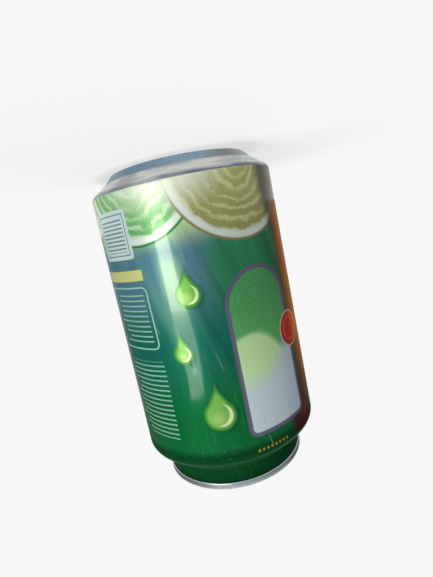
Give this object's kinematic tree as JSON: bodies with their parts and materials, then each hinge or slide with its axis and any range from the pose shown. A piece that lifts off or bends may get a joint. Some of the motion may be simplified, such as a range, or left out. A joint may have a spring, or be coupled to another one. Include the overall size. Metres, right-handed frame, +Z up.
{
  "type": "drink can",
  "caption": "Opened, empty aluminium drink can with a double-seamed end and a stay-on tab, printed in greens, with shallow dents and scratches.",
  "frame": {"origin": "centre of the ring that the can stands on, in the plane of that ring", "axes": "+Z up the can's axis from the base to the lid end; -Y towards the side that the picture shows"},
  "size_m": [0.0662, 0.0662, 0.1152],
  "materials": {
    "printed_metal": "glossy lacquer over a green metallic print, bare below the chamfer",
    "bare_metal": "lacquered rolled sheet, satin",
    "tab_metal": "bright rolled sheet"
  },
  "bodies": {
    "root": {"can_body": "printed_metal", "can_end": "bare_metal", "pull_tab": "tab_metal"}
  },
  "joints": []
}
